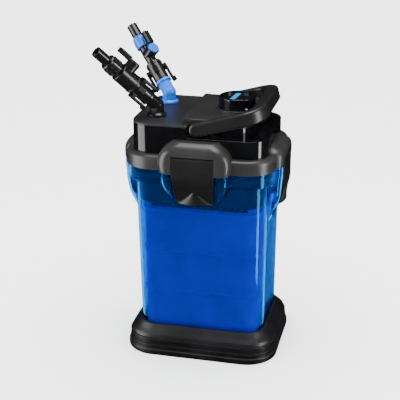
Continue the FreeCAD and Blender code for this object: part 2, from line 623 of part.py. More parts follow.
def primer_bellows():
    """Rubber bellows between the head and the button that pushes the primer back up."""
    low, high, folds, wall = 369.4, PRIMER_TOP - 6.6, 6, 1.2
    step = (high - low) / (2 * folds)
    heights = [low + step * i for i in range(2 * folds + 1)]
    outer = [V(14.5 if i % 2 else 11.5, 0, z) for i, z in enumerate(heights)]
    inner = [V(p.x - wall, 0, p.z) for p in reversed(outer)]
    profile = Part.Face(Part.makePolygon(outer + inner + outer[:1]))
    return moved(profile.revolve(V(0, 0, 0), UP, 360), PRIMER_X, 0, 0)


# Handle

def carry_handle():
    """Bail in its own plane, along +X from the pivot, then tilted up to its rest."""
    reach = HANDLE_REACH
    outer = slab(2 * reach, 2 * ARM_OUT, 34.0, -BAND / 2, BAND / 2)
    inner = slab(2 * GRIP_IN, 2 * ARM_IN, 24.0, -BAND, BAND)
    band = outer.cut(inner).common(box(0, 200, -100, 100, -BAND, BAND))
    ends = [bar_y(BAND / 2, 0, 0, y0, y0 + ARM_OUT - ARM_IN) for y0 in (-ARM_OUT, ARM_IN)]
    bail = union([band] + ends)
    bail = rounded(bail, 4.6, lambda c, e: c.x > 12 and at_height(-BAND / 2, BAND / 2)(c, e))
    for y0 in (-ARM_OUT + 1.6, ARM_IN - 1):
        bail = bail.cut(bar_y(HANDLE_PIN_R + RUNNING, 0, 0, y0, y0 + ARM_OUT - ARM_IN - 0.6))
    bail = turned(bail, -HANDLE_TILT, axis=ACROSS)
    return moved(bail, HANDLE_X, 0, HANDLE_Z)


def handle_pins():
    return group([bar_y(HANDLE_PIN_R, HANDLE_X, HANDLE_Z, y0, y0 + 16.0) for y0 in (-82.0, 66.0)])


# Taps, built about the bend of the elbow: +Z along the flow, -X on the upper side

def tap_place(shape, heading, side):
    copy = shape.copy()
    copy.rotate(V(0, 0, 0), ACROSS, TAP_TILT)
    copy.rotate(V(0, 0, 0), UP, heading)
    copy.translate(V(TAP_X, side * TAP_Y, TAP_BEND_Z))
    return copy


def prism(radius, z0, z1, sides=8):
    points = []
    for i in range(sides + 1):
        a = 2 * math.pi * (i + 0.5) / sides
        points.append(V(radius * math.cos(a), radius * math.sin(a), z0))
    return Part.Face(Part.makePolygon(points)).extrude(V(0, 0, z1 - z0))


def tap_elbow(heading, side):
    """Swivel elbow: spigot in the head, base disc, faceted bend, and collar."""
    centre = V(TAP_X, side * TAP_Y, 0)
    upright = [disc(SWIVEL_R, 350.0, 389.6, centre.x, centre.y), disc(14.6, 389.2, 392.2, centre.x, centre.y),
               Part.makeCone(14.0, 11.0, 2.4, centre + V(0, 0, 392.1)),
               turned(moved(prism(11.2, 392.0, TAP_BEND_Z + 1.5), centre.x, centre.y, 0), heading, centre)]
    leaning = [prism(11.2, -1.5, 18.0), disc(13.0, 18.0, 22.0), disc(8.9, 21.0, 38.0), Part.makeSphere(10.9)]
    body = union(upright + [tap_place(s, heading, side) for s in leaning])
    bores = [disc(7.0, 340.0, TAP_BEND_Z, centre.x, centre.y), tap_place(disc(7.0, 0, 50.0), heading, side),
             tap_place(Part.makeSphere(7.0), heading, side)]
    grooves = [ring(SWIVEL_R + 1, SWIVEL_R - 1.7, z, z + 2.4, centre.x, centre.y) for z in SEAL_HEIGHTS]
    for cut in bores + grooves:
        body = body.cut(cut)
    return body


def swivel_seals(side):
    y = side * TAP_Y
    return group([ring(SWIVEL_R - 0.02, SWIVEL_R - 1.6, z + 0.1, z + 2.3, TAP_X, y) for z in SEAL_HEIGHTS])


def upward(radius, length, start=0.0):
    """Cylinder along the valve's axis, from start outwards."""
    return Part.makeCylinder(radius, length, V(-start, 0, VALVE_S), V(-1, 0, 0))


def tap_body(barrel_r, turns):
    """Quick-release body, flow tube and the housing of the valve on its upper side."""
    coupling = rounded(disc(COUPLING_R, 23.0, 57.0), 1.5, at_height(57.0))
    if barrel_r > COUPLING_R:
        collar = rounded(disc(15.2, 50.0, 53.5), 0.8, at_height(50.0, 53.5))
        barrel = rounded(disc(barrel_r, 53.0, 84.0), 1.5, at_height(84.0))
    else:
        collar = disc(13.6, 51.0, 53.5)
        barrel = disc(barrel_r, 56.0, 86.0)
    stem = upward(10.0, barrel_r + 6.5)
    neck = disc(HOSE_R - 0.6, 80.0, 112.0)
    nozzle = rounded(disc(HOSE_R, 110.0, TAP_LEN), 0.6, at_height(TAP_LEN))
    pads = [turned(rounded(box(-14.4, -9.0, -4.2, 4.2, 34.0, 47.0), 0.8, lambda c, e: True), t - 90)
            for t in turns]
    body = union([coupling, collar, barrel, stem, neck, nozzle] + pads)
    flats = [turned(box(-20.0, -12.0, -5.4, 5.4, 19.0, 48.5), t) for t in turns]
    for cut in flats + [disc(9.0, 20.0, 40.0), disc(6.6, 30.0, 140.0), upward(6.0 + RUNNING, 60.0, -7.5)]:
        body = body.cut(cut)
    return body


def valve_spool(barrel_r):
    """Ported spool with its round head and the finger lever."""
    reach = barrel_r + 6.5 + GAP
    spool = upward(6.0, reach + 7.4, -7.4).cut(disc(4.6, 60.0, 90.0))
    head = upward(10.4, VALVE_HEAD, reach)
    head = head.makeFillet(1.0, [e for e in head.Edges if e.BoundBox.XMax < -reach - VALVE_HEAD + 0.01])
    root = box(-reach - VALVE_HEAD, -reach, -5.5, 5.5, VALVE_S + 6.0, VALVE_S + 13.0)
    lever = box(-reach - LEVER_HEIGHT, -reach, -5.5, 5.5, VALVE_S + 9.6, VALVE_S + 32.0)
    lever = lever.makeFillet(1.8, [e for e in lever.Edges if e.CenterOfMass.z > VALVE_S + 10.0])
    return union([spool, head, root, lever])


def valve_cap(barrel_r):
    reach = barrel_r + 6.5 + GAP + VALVE_HEAD + 0.05
    cap = upward(9.0, 1.4, reach)
    return cap.makeFillet(0.6, [e for e in cap.Edges if e.BoundBox.XMax < -reach - 1.3])


def release_lever(turn):
    """Lever that frees the coupling: it rocks on a pin between two ears of the body."""
    arm = box(-RELEASE_R - 3.2, -RELEASE_R + 1.3, -4.5, 4.5, 15.0, 46.0)
    arm = rounded(arm, 1.0, lambda c, e: c.x < -RELEASE_R - 3)
    knob = rounded(box(-21.5, -RELEASE_R + 1.3, -5.4, 5.4, 13.0, 18.5), 1.2, lambda c, e: True)
    knuckle = Part.makeCylinder(2.2, 9.0, V(-RELEASE_R, -4.5, RELEASE_S), ACROSS)
    lever = union([arm, knob, knuckle])
    return turned(lever.cut(release_pin(RELEASE_PIN_R + RUNNING, 15.0)), turn)


def release_pin(radius, half):
    return Part.makeCylinder(radius, 2 * half, V(-RELEASE_R, -half, RELEASE_S), ACROSS)


def release_mounts(turns):
    """Two pairs of ears with the pins on which the release levers rock."""
    mounts = []
    for turn in turns:
        ears = [box(-17.6, -9.0, side * 6.2 - 1.2, side * 6.2 + 1.2, 38.8, 45.2).cut(disc(COUPLING_R, 20, 60))
                for side in (-1, 1)]
        mounts.append(turned(union(ears + [release_pin(RELEASE_PIN_R, 7.8)]), turn))
    return group(mounts)


def hose_nut(radius, ribs):
    """Ribbed lock nut that grips the hose on the nozzle."""
    nut = disc(radius, 88.0, 106.0)
    fin = box(radius - 1, radius + 1.4, -1.3, 1.3, 88.0, 103.0)
    fins = [turned(fin, 360.0 * i / ribs) for i in range(ribs)]
    skirt = Part.makeCone(radius + 0.6, radius - 0.8, 2.0, V(0, 0, 106.0))
    return union([nut, skirt] + fins).cut(disc(HOSE_R - 0.6 + GAP + 0.2, 80, 110.5))


# Name, heading, turn of the first release lever about the flow, side, barrel and nut radius
TAPS = (("outlet", OUTLET_HEADING, 45.0, 1, 8.6, 10.4),
        ("inlet", INLET_HEADING, 5.0, -1, 14.6, 12.4))


def canister_nodes():
    nodes = {"base_foot": base_foot(), "canister": canister()}
    for level, name in enumerate(("lower", "middle", "upper")):
        nodes[name + "_basket"] = basket(level)
    nodes["basket_lid"] = basket_lid()
    nodes["ceramic_media"] = media_pad(0, 3.0, 62.0)
    nodes["carbon_bag"] = media_pad(1, 3.0, 40.0)
    nodes["coarse_sponge"] = media_pad(2, 3.0, 38.0)
    nodes["polishing_floss"] = media_pad(2, 39.0, 60.0)
    nodes["intake_tube"] = intake_tube()
    return nodes


def head_nodes():
    nodes = {"head_gasket": head_gasket(), "head_floor": head_floor(), "motor_head": motor_head()}
    nodes["top_cover"] = top_cover()
    nodes["head_flange"] = head_flange()
    nodes["cord_gland"] = cord_gland()
    nodes["carry_handle"] = carry_handle()
    nodes["handle_pins"] = handle_pins()
    nodes["clamp_pins"] = clamp_pins()
    for name, angle, face, _, _, clamp_top, side in SIDES:
        nodes["clamp_" + name] = turned(clamp(face, clamp_top, CLAMP_STRAIGHT[side]), angle)
    return nodes


def pump_nodes():
    return {"rotor_well": rotor_well(), "stator_stack": stator_stack(), "stator_coil": stator_coil(),
            "impeller_shaft": impeller_shaft(), "shaft_bushes": shaft_bushes(),
            "impeller_magnet": impeller_magnet(), "impeller_blades": impeller_blades(),
            "impeller_cover": impeller_cover(), "cover_screws": cover_screws()}


def primer_nodes():
    return {"primer_button": primer_button(), "primer_inlay": primer_inlay(),
            "primer_piston": primer_piston(), "primer_cylinder": primer_cylinder(),
            "primer_bellows": primer_bellows()}


def tap_nodes(name, heading, turn, side, barrel_r, nut_r):
    turns = (turn, turn + 180.0)
    leaning = {"tap_body": tap_body(barrel_r, turns), "release_mounts": release_mounts(turns),
               "release_lever_a": release_lever(turns[0]), "release_lever_b": release_lever(turns[1]),
               "valve_spool": valve_spool(barrel_r), "valve_cap": valve_cap(barrel_r),
               "hose_nut": hose_nut(nut_r, 10)}
    nodes = {name + "_elbow": tap_elbow(heading, side), name + "_seals": swivel_seals(side)}
    for piece, shape in leaning.items():
        nodes[name + "_" + piece] = tap_place(shape, heading, side)
    return nodes


def build():
    nodes = {**canister_nodes(), **head_nodes(), **pump_nodes(), **primer_nodes()}
    for tap in TAPS:
        nodes.update(tap_nodes(*tap))
    return nodes


os.makedirs("parts", exist_ok=True)
for node, shape in build().items():
    print(node, len(shape.Solids), "valid" if shape.isValid() else "INVALID", round(shape.Volume / 1000, 2))
    shape.exportStep("parts/" + node + ".step")
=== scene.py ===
import itertools
import json
import math
import random
import bpy
from mathutils import Euler, Matrix, Vector, noise


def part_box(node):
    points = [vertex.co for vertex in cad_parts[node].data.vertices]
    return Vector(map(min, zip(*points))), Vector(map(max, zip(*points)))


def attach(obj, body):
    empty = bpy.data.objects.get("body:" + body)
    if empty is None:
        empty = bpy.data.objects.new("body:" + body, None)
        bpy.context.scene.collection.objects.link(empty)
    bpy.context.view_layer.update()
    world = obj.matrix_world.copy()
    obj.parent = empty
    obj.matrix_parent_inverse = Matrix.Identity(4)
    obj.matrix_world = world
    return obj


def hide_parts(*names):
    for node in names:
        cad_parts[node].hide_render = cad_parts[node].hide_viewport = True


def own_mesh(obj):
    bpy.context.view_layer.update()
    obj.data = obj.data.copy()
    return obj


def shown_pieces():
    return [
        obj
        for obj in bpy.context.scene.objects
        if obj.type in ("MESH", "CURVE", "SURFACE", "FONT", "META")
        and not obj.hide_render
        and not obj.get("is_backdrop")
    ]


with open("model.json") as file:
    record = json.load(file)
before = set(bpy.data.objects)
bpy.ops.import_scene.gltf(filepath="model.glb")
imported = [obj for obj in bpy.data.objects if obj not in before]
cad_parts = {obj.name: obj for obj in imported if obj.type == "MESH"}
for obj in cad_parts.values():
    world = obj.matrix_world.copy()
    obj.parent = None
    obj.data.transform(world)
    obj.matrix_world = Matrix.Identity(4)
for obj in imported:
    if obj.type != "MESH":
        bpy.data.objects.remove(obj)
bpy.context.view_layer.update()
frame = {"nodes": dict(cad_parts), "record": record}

NODES = frame["nodes"]


# ---------------------------------------------------------------- camera, floor and light

# Degrees and metres; the lens and its sensor are in millimetres
CAMERA_AZIMUTH, CAMERA_ELEVATION, CAMERA_ROLL = 13.25, 22.82, -0.22
CAMERA_DISTANCE, CAMERA_AIM_Z = 1.64317, 0.200
LENS, SHIFT_X, SHIFT_Y = 90.365, -0.02285, 0.05632
SENSOR_WIDTH = 36.0
CLIP_START, CLIP_END = 0.05, 50.0

FLOOR_HALF = 40.0
FLOOR_DARK, FLOOR_LIGHT = (0.92, 0.92, 0.92), (0.95, 0.95, 0.95)

DOME_LOW, DOME_TOP = 0.25, 5.4    # strength at the horizon and overhead
DOME_FULL_HEIGHT = 0.9            # sine of the elevation from which the dome is at full strength
DOME_COLOUR = (0.97, 0.98, 1.0, 1)

# Name, place, target, width and height, watts. The two side boxes reach below the floor's level, so that
# upright glossy faces mirror them from end to end.
SOFTBOX_LEFT = ("softbox_left", (-0.88, -0.54, 0.30), (-0.08, -0.07, 0.30), (0.80, 1.30), 20)
STRIP_RIGHT = ("strip_right", (0.98, -0.32, 0.30), (0.08, -0.07, 0.30), (0.24, 1.30), 14)
TOP_SOFT = ("top_soft", (0.05, -0.05, 1.5), (0, 0, 0.3), (0.9, 0.7), 15)


def add_camera():
    azimuth, elevation, roll = (math.radians(a) for a in (CAMERA_AZIMUTH, CAMERA_ELEVATION, CAMERA_ROLL))
    back = Vector((math.sin(azimuth) * math.cos(elevation), -math.cos(azimuth) * math.cos(elevation),
                   math.sin(elevation)))
    right = Vector((math.cos(azimuth), math.sin(azimuth), 0.0))
    up = back.cross(right)
    x_axis = math.cos(roll) * right + math.sin(roll) * up
    y_axis = math.cos(roll) * up - math.sin(roll) * right
    data = bpy.data.cameras.new("camera")
    data.lens, data.sensor_width = LENS, SENSOR_WIDTH
    data.shift_x, data.shift_y = SHIFT_X, SHIFT_Y
    data.clip_start, data.clip_end = CLIP_START, CLIP_END
    camera = bpy.data.objects.new("camera", data)
    bpy.context.scene.collection.objects.link(camera)
    place = Matrix((x_axis, y_axis, back)).transposed().to_4x4()
    place.translation = Vector((0, 0, CAMERA_AIM_Z)) + back * CAMERA_DISTANCE
    camera.matrix_world = place
    bpy.context.scene.camera = camera


def area_light(name, place, target, size, power):
    """A rectangular light that shines on its target and can't be seen itself."""
    data = bpy.data.lights.new(name, "AREA")
    data.shape = "RECTANGLE"
    data.size, data.size_y = size
    data.energy = power
    light = bpy.data.objects.new(name, data)
    light.visible_camera = False
    bpy.context.scene.collection.objects.link(light)
    light.location = place
    light.rotation_euler = (Vector(target) - Vector(place)).to_track_quat("-Z", "Y").to_euler()
    return light


def add_floor():
    corners = [(x * FLOOR_HALF, y * FLOOR_HALF, 0) for x, y in ((-1, -1), (1, -1), (1, 1), (-1, 1))]
    mesh = bpy.data.meshes.new("floor")
    mesh.from_pydata(corners, [], [(0, 1, 2, 3)])
    plane = bpy.data.objects.new("floor", mesh)
    plane.visible_glossy = False
    bpy.context.scene.collection.objects.link(plane)
    look = Look("floor_paper")
    tone = look.mix(look.noise(3.0, 3), FLOOR_DARK, FLOOR_LIGHT)
    look.surface(tone, roughness=0.9, Specular_IOR_Level=0.1)
    mesh.materials.append(look.material)
    plane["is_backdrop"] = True


def add_dome():
    """A soft overhead dome: bright above, dim at the horizon and below it. Glossy faces don't mirror it."""
    world = bpy.data.worlds.new("studio")
    bpy.context.scene.world = world
    world.use_nodes = True
    nodes, links = world.node_tree.nodes, world.node_tree.links
    direction = nodes.new("ShaderNodeTexCoord")
    split = nodes.new("ShaderNodeSeparateXYZ")
    height = nodes.new("ShaderNodeMapRange")
    height.interpolation_type = "SMOOTHSTEP"
    for name, value in (("From Min", 0.0), ("From Max", DOME_FULL_HEIGHT),
                        ("To Min", DOME_LOW), ("To Max", DOME_TOP)):
        height.inputs[name].default_value = value
    links.new(direction.outputs["Generated"], split.inputs[0])
    links.new(split.outputs["Z"], height.inputs["Value"])
    links.new(height.outputs["Result"], nodes["Background"].inputs["Strength"])
    nodes["Background"].inputs["Color"].default_value = DOME_COLOUR
    world.cycles_visibility.glossy = False


def add_studio():
    add_floor()
    add_dome()
    softbox, strip = area_light(*SOFTBOX_LEFT), area_light(*STRIP_RIGHT)
    area_light(*TOP_SOFT)
    return softbox, strip


def shine_on(light, pieces):
    """The light falls on these pieces alone."""
    lit = bpy.data.collections.new("lit_by_" + light.name)
    for piece in pieces:
        lit.objects.link(piece)
    light.light_linking.receiver_collection = lit


# ---------------------------------------------------------------- materials

EDGE_FLAT, EDGE_SHARP = 0.995, 0.86       # cosine between true and rounded normal: none and full edge wear
BEVEL_SAMPLES = 6
EDGE_ROUND = 0.0008                       # radius that moulded edges seem to have


def shade(colour, factor, lift=0.0):
    """The colour made darker or paler."""
    return tuple(min(1.0, c * factor + lift) for c in colour)


class Look:
    """A procedural material: small helpers that add nodes to one tree."""

    def __init__(self, name):
        self.material = bpy.data.materials.new(name)
        self.material.use_nodes = True
        self.tree = self.material.node_tree
        self.shader = self.tree.nodes["Principled BSDF"]
        self.place = self.add("ShaderNodeTexCoord").outputs["Object"]

    def add(self, kind, **settings):
        node = self.tree.nodes.new(kind)
        for key, value in settings.items():
            setattr(node, key, value)
        return node

    def link(self, source, target):
        self.tree.links.new(source, target)

    def put(self, target, value):
        """Links a socket, or sets a plain value."""
        if isinstance(value, bpy.types.NodeSocket):
            self.link(value, target)
        elif isinstance(value, tuple) and len(value) == 3 and target.type == "RGBA":
            target.default_value = (*value, 1.0)
        else:
            target.default_value = value

    def stretched(self, x, y, z):
        mapping = self.add("ShaderNodeMapping")
        self.link(self.place, mapping.inputs["Vector"])
        mapping.inputs["Scale"].default_value = (x, y, z)
        return mapping.outputs["Vector"]

    def noise(self, scale, detail=2, rough=0.5, vector=None):
        node = self.add("ShaderNodeTexNoise")
        self.link(vector or self.place, node.inputs["Vector"])
        node.inputs["Scale"].default_value = scale
        node.inputs["Detail"].default_value = detail
        node.inputs["Roughness"].default_value = rough
        return node.outputs["Fac"]

    def cells(self, scale, feature="F1"):
        node = self.add("ShaderNodeTexVoronoi", feature=feature)
        self.link(self.place, node.inputs["Vector"])
        node.inputs["Scale"].default_value = scale
        return node.outputs["Distance"]

    def bands(self, direction, scale, distortion=0.0):
        """Even stripes across the direction."""
        node = self.add("ShaderNodeTexWave", wave_type="BANDS", bands_direction=direction)
        self.link(self.place, node.inputs["Vector"])
        node.inputs["Scale"].default_value = scale
        node.inputs["Distortion"].default_value = distortion
        return node.outputs["Fac"]

    def maths(self, kind, a, b):
        node = self.add("ShaderNodeMath", operation=kind)
        self.put(node.inputs[0], a)
        self.put(node.inputs[1], b)
        return node.outputs[0]

    def ramp(self, source, low, high, at_low=0.0, at_high=1.0):
        node = self.add("ShaderNodeMapRange", clamp=True)
        self.put(node.inputs["Value"], source)
        for name, level in (("From Min", low), ("From Max", high), ("To Min", at_low), ("To Max", at_high)):
            node.inputs[name].default_value = level
        return node.outputs["Result"]

    def mix(self, factor, a, b):
        node = self.add("ShaderNodeMix", data_type="RGBA")
        self.put(node.inputs["Factor"], factor)
        self.put(node.inputs[6], a)
        self.put(node.inputs[7], b)
        return node.outputs[2]

    def soft_edges(self, radius):
        """Normal of the surface with its edges rounded off."""
        node = self.add("ShaderNodeBevel", samples=BEVEL_SAMPLES)
        node.inputs["Radius"].default_value = radius
        return node.outputs["Normal"]

    def edge_mask(self, radius):
        """0 on flat stretches, rising to 1 along edges."""
        geometry = self.add("ShaderNodeNewGeometry")
        dot = self.add("ShaderNodeVectorMath", operation="DOT_PRODUCT")
        self.link(self.soft_edges(radius), dot.inputs[0])
        self.link(geometry.outputs["Normal"], dot.inputs[1])
        return self.ramp(dot.outputs["Value"], EDGE_FLAT, EDGE_SHARP)

    def bump(self, height, distance, strength=1.0, normal=None):
        node = self.add("ShaderNodeBump")
        node.inputs["Strength"].default_value = strength
        node.inputs["Distance"].default_value = distance
        self.put(node.inputs["Height"], height)
        if normal is not None:
            self.link(normal, node.inputs["Normal"])
        return node.outputs["Normal"]

    def surface(self, colour, roughness=0.5, normal=None, **plain):
        self.put(self.shader.inputs["Base Color"], colour)
        self.put(self.shader.inputs["Roughness"], roughness)
        if normal is not None:
            self.link(normal, self.shader.inputs["Normal"])
        for name, value in plain.items():
            self.put(self.shader.inputs[name.replace("_", " ")], value)
        return self.material


def moulded(name, colour, rough, grain=900.0, grain_depth=0.00006, edge=EDGE_ROUND, edge_wear_and_highlight=0.35, lift=1.8,
            **plain):
    """Textured injection-moulded plastic: fine spark grain, faint flow mottling, edges made paler, partly
    as rubbing wear and partly as a painted highlight along rounded edges.
    """
    look = Look(name)
    grains = look.noise(grain, 3, 0.65)
    pits = look.cells(grain * 0.9, "SMOOTH_F1")
    mottle = look.noise(22.0, 4, 0.6)
    pale = shade(colour, lift, 0.01)
    body = look.mix(look.ramp(mottle, 0.35, 0.7), shade(colour, 0.82), shade(colour, 1.15))
    fleck = look.mix(look.ramp(grains, 0.45, 0.75, 0.0, 0.35), body, pale)
    patches = look.ramp(look.noise(140.0, 3), 0.3, 0.7, 0.3, 1.0)
    # Paler edges: part rubbing wear, part a painted highlight where rounded edges would catch the light
    pale_edges = look.maths("MULTIPLY", look.edge_mask(edge * 1.6), patches)
    tint = look.mix(look.maths("MULTIPLY", pale_edges, edge_wear_and_highlight), fleck, pale)
    height = look.maths("ADD", grains, look.maths("MULTIPLY", pits, 0.6))
    normal = look.bump(height, grain_depth, 0.7, look.soft_edges(edge))
    gloss = look.maths("ADD", look.ramp(mottle, 0.3, 0.7, rough - 0.05, rough + 0.06),
                       look.maths("MULTIPLY", pale_edges, -0.08))
    return look.surface(tint, gloss, normal, **plain)


def polished(name, colour, rough, smudge=0.10):
    """Glossy moulding: slight waviness, faint wipe marks and dust, hairline scratches."""
    look = Look(name)
    wide = look.noise(35.0, 2)
    fine = look.noise(400.0, 2)
    wipe = look.noise(14.0, 5, 0.65, look.stretched(1.0, 1.6, 0.35))
    scratch = look.noise(260.0, 4, 0.7, look.stretched(1.0, 0.25, 0.04))
    lines = look.ramp(scratch, 0.66, 0.74)
    dust = look.ramp(look.noise(1600.0, 2), 0.72, 0.80, 0.0, 0.25)
    body = look.mix(look.ramp(wide, 0.3, 0.7), shade(colour, 0.85), shade(colour, 1.12))
    dusty = look.mix(dust, body, shade(colour, 0.6, 0.10))
    gloss = look.maths("ADD", look.ramp(wipe, 0.35, 0.75, rough, rough + smudge),
                       look.maths("MULTIPLY", lines, 0.12))
    height = look.maths("ADD", wide, look.maths("MULTIPLY", fine, 0.12))
    normal = look.bump(height, 0.00003, 1.0, look.soft_edges(EDGE_ROUND))
    return look.surface(dusty, gloss, normal)


def rubber(name, colour, rough):
    """Dull rubber: fine grain, a film of dust, edges rubbed grey."""
    look = Look(name)
    grains = look.noise(1300.0, 3, 0.7)
    mottle = look.noise(18.0, 4, 0.6)
    dust = look.ramp(look.noise(9.0, 5, 0.7), 0.5, 0.8, 0.0, 0.35)
    body = look.mix(look.ramp(mottle, 0.3, 0.7), shade(colour, 0.8), shade(colour, 1.2))
    dusty = look.mix(dust, body, shade(colour, 1.7, 0.008))
    pale_edges = look.maths("MULTIPLY", look.edge_mask(0.0022), 0.45)
    tint = look.mix(pale_edges, dusty, shade(colour, 2.2, 0.012))
    normal = look.bump(grains, 0.00007, 0.6, look.soft_edges(0.0012))
    return look.surface(tint, look.ramp(mottle, 0.3, 0.7, rough - 0.06, rough + 0.05), normal)


STYRENE_IOR = 1.49
STYRENE_TINTS = ((0.014, 0.195, 0.54), (0.018, 0.21, 0.57))     # seen through
STYRENE_SHADOWS = ((0.10, 0.47, 0.85), (0.12, 0.50, 0.87))      # lamplight that passes
STYRENE_MIRROR = (0.04, 0.45, 0.75)                             # reflected


def clear_blue():
    """Transparent blue moulding: bends light for the eye, lets lamplight through tinted."""
    look = Look("clear_blue_styrene")
    cloud = look.ramp(look.noise(16.0, 3), 0.3, 0.7)
    normal = look.bump(look.noise(60.0, 2), 0.00002, 1.0)
    gloss = look.ramp(look.noise(25.0, 4, 0.6), 0.35, 0.7, 0.035, 0.09)
    look.surface(look.mix(cloud, *STYRENE_TINTS), gloss, normal, Transmission_Weight=1.0, IOR=STYRENE_IOR,
                 Specular_Tint=STYRENE_MIRROR)
    through = look.add("ShaderNodeBsdfTransparent")
    look.put(through.inputs["Color"], look.mix(cloud, *STYRENE_SHADOWS))
    path = look.add("ShaderNodeLightPath")
    both = look.add("ShaderNodeMixShader")
    look.link(path.outputs["Is Shadow Ray"], both.inputs["Fac"])
    look.link(look.shader.outputs[0], both.inputs[1])
    look.link(through.outputs[0], both.inputs[2])
    look.link(both.outputs[0], look.tree.nodes["Material Output"].inputs["Surface"])
    return look.material


def brushed_metal(name, colour, rough=0.3):
    """Metal drawn along Z: fine lengthwise grain."""
    look = Look(name)
    grain = look.noise(900.0, 3, 0.6, look.stretched(1.0, 1.0, 0.05))
    tint = look.mix(look.ramp(grain, 0.3, 0.7), shade(colour, 0.8), colour)
    return look.surface(tint, look.ramp(grain, 0.3, 0.7, rough - 0.08, rough + 0.1),
                        look.bump(grain, 0.00002, 0.6, look.soft_edges(0.0003)), Metallic=1.0)


def layered_metal(name, dark, light, scale, rough, metallic, distortion=0.0):
    """Metal in thin layers along Z: turns of wire or a stack of sheets."""
    look = Look(name)
    layers = look.bands("Z", scale, distortion)
    return look.surface(look.mix(layers, dark, light), rough, look.bump(layers, 0.0002), Metallic=metallic)


def porous(name, dark, light, scale, depth, rough=0.9):
    """Foam, floss or ceramic: an open, speckled surface, its pits darkened as painted shade."""
    look = Look(name)
    holes = look.cells(scale)
    fuzz = look.noise(scale * 2.2, 4, 0.7)
    depth_map = look.maths("ADD", holes, look.maths("MULTIPLY", fuzz, 0.5))
    # Painted shade: the colour darkens in the pits, where the bump sinks the surface
    tint = look.mix(look.ramp(depth_map, 0.25, 0.85), dark, light)
    gloss = look.ramp(fuzz, 0.2, 0.8, rough - 0.1, rough + 0.08)
    return look.surface(tint, gloss, look.bump(depth_map, depth))


def woven(name, dark, light, pitch):
    """Plain weave with threads along X and Y, unevenly dusty, with painted shade in the hollows between the
    threads.
    """
    look = Look(name)
    weave = look.maths("MULTIPLY", look.bands("X", 1.0 / pitch), look.bands("Y", 1.0 / pitch))
    # Darker where the weave is low: painted shade between the threads; the added noise is uneven dust
    dusty = look.maths("ADD", weave, look.noise(90.0, 3))
    return look.surface(look.mix(look.ramp(dusty, 0.4, 1.2), dark, light), 0.85, look.bump(weave, 0.0004))


def make_materials():
    """One material for each slot name of the record."""
    return {
        "foot_rubber": rubber("foot_rubber", (0.0022, 0.0022, 0.0026), 0.40),
        "canister_blue": clear_blue(),
        # The baskets' edges are made fully pale: a painted highlight along each rim and seam
        "basket_plastic": moulded("basket_plastic", (0.0006, 0.062, 0.43), 0.42, edge=0.0011, edge_wear_and_highlight=1.0,
                                  lift=2.1, Specular_IOR_Level=0.2),
        "ceramic": porous("ceramic_rings", (0.34, 0.30, 0.26), (0.80, 0.76, 0.70), 160.0, 0.003),
        "carbon_cloth": woven("carbon_mesh_bag", (0.010, 0.010, 0.011), (0.07, 0.07, 0.075), 0.0016),
        "sponge": porous("coarse_sponge", (0.015, 0.03, 0.07), (0.13, 0.20, 0.36), 420.0, 0.0012),
        "floss": porous("polishing_floss", (0.62, 0.64, 0.66), (0.90, 0.91, 0.92), 700.0, 0.0006),
        "tube_plastic": moulded("tube_plastic", (0.004, 0.004, 0.0045), 0.38),
        "seal_rubber": rubber("seal_rubber", (0.012, 0.012, 0.013), 0.45),
        "head_gloss": polished("head_gloss", (0.0025, 0.0025, 0.0032), 0.06, smudge=0.06),
        "cover_matte": moulded("cover_matte", (0.0055, 0.0053, 0.0055), 0.44, grain=1500.0,
                               grain_depth=0.00009, lift=2.4),
        "flange_satin": moulded("flange_satin", (0.012, 0.0115, 0.011), 0.33, grain=1300.0,
                                grain_depth=0.00005, lift=1.9),
        "clamp_satin": moulded("clamp_satin", (0.0030, 0.0029, 0.0029), 0.40, grain=1300.0, lift=1.9),
        "handle_matte": moulded("handle_matte", (0.0045, 0.0045, 0.0047), 0.32, grain=1500.0,
                                grain_depth=0.00008, lift=2.0),
        "steel": brushed_metal("drawn_steel", (0.60, 0.60, 0.62)),
        "lamination": layered_metal("laminated_iron", (0.10, 0.10, 0.11), (0.30, 0.30, 0.32), 650.0, 0.42,
                                    0.7),
        "copper": layered_metal("copper_winding", (0.30, 0.10, 0.04), (0.78, 0.34, 0.16), 700.0, 0.32, 0.8,
                                distortion=0.6),
        "magnet": moulded("sintered_magnet", (0.05, 0.05, 0.055), 0.5),
        "shaft_ceramic": polished("shaft_ceramic", (0.80, 0.80, 0.78), 0.2),
        "impeller_plastic": moulded("impeller_plastic", (0.70, 0.72, 0.74), 0.45, lift=1.1),
        "primer_gloss": polished("primer_gloss", (0.0025, 0.0025, 0.0032), 0.07, smudge=0.06),
        "inlay_blue": polished("inlay_blue", (0.0, 0.10, 0.25), 0.30),
        "tap_black": polished("tap_black", (0.004, 0.004, 0.0043), 0.17, smudge=0.14),
        "tap_blue": polished("tap_blue", (0.0, 0.080, 0.43), 0.18),
    }


def dress_frame(materials):
    """Gives each part of the frame the material of its slot."""
    slots = {part["node"]: part["material_slot"] for part in frame["record"]["subparts"]}
    for name, node in NODES.items():
        node.data.materials.clear()
        node.data.materials.append(materials[slots[name]])


# ---------------------------------------------------------------- filter media

BLOCK_ROUND = 0.020               # corner radius of a media block
CORNER_STEP, NOTCH_STEP = 10, 15  # degrees between the points of an arc
TUBE_GAP = 0.0155                 # radius of the notch for the intake tube
TUBE = sum((Vector(corner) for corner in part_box("intake_tube")), Vector()) / 2

# Size and depth of each surface's relief
GRANULE_SIZE, GRANULE_DEPTH = 0.0052, 0.0010
SLACK_SIZE, SLACK_DEPTH = 0.028, 0.0007
PORE_SIZE, PORE_DEPTH, PORE_STEEPNESS = 0.0040, 0.0012, 2.2
FLUFF_SIZE, FLUFF_DEPTH = 0.006, 0.0006
HEM_RADIUS = 0.0011


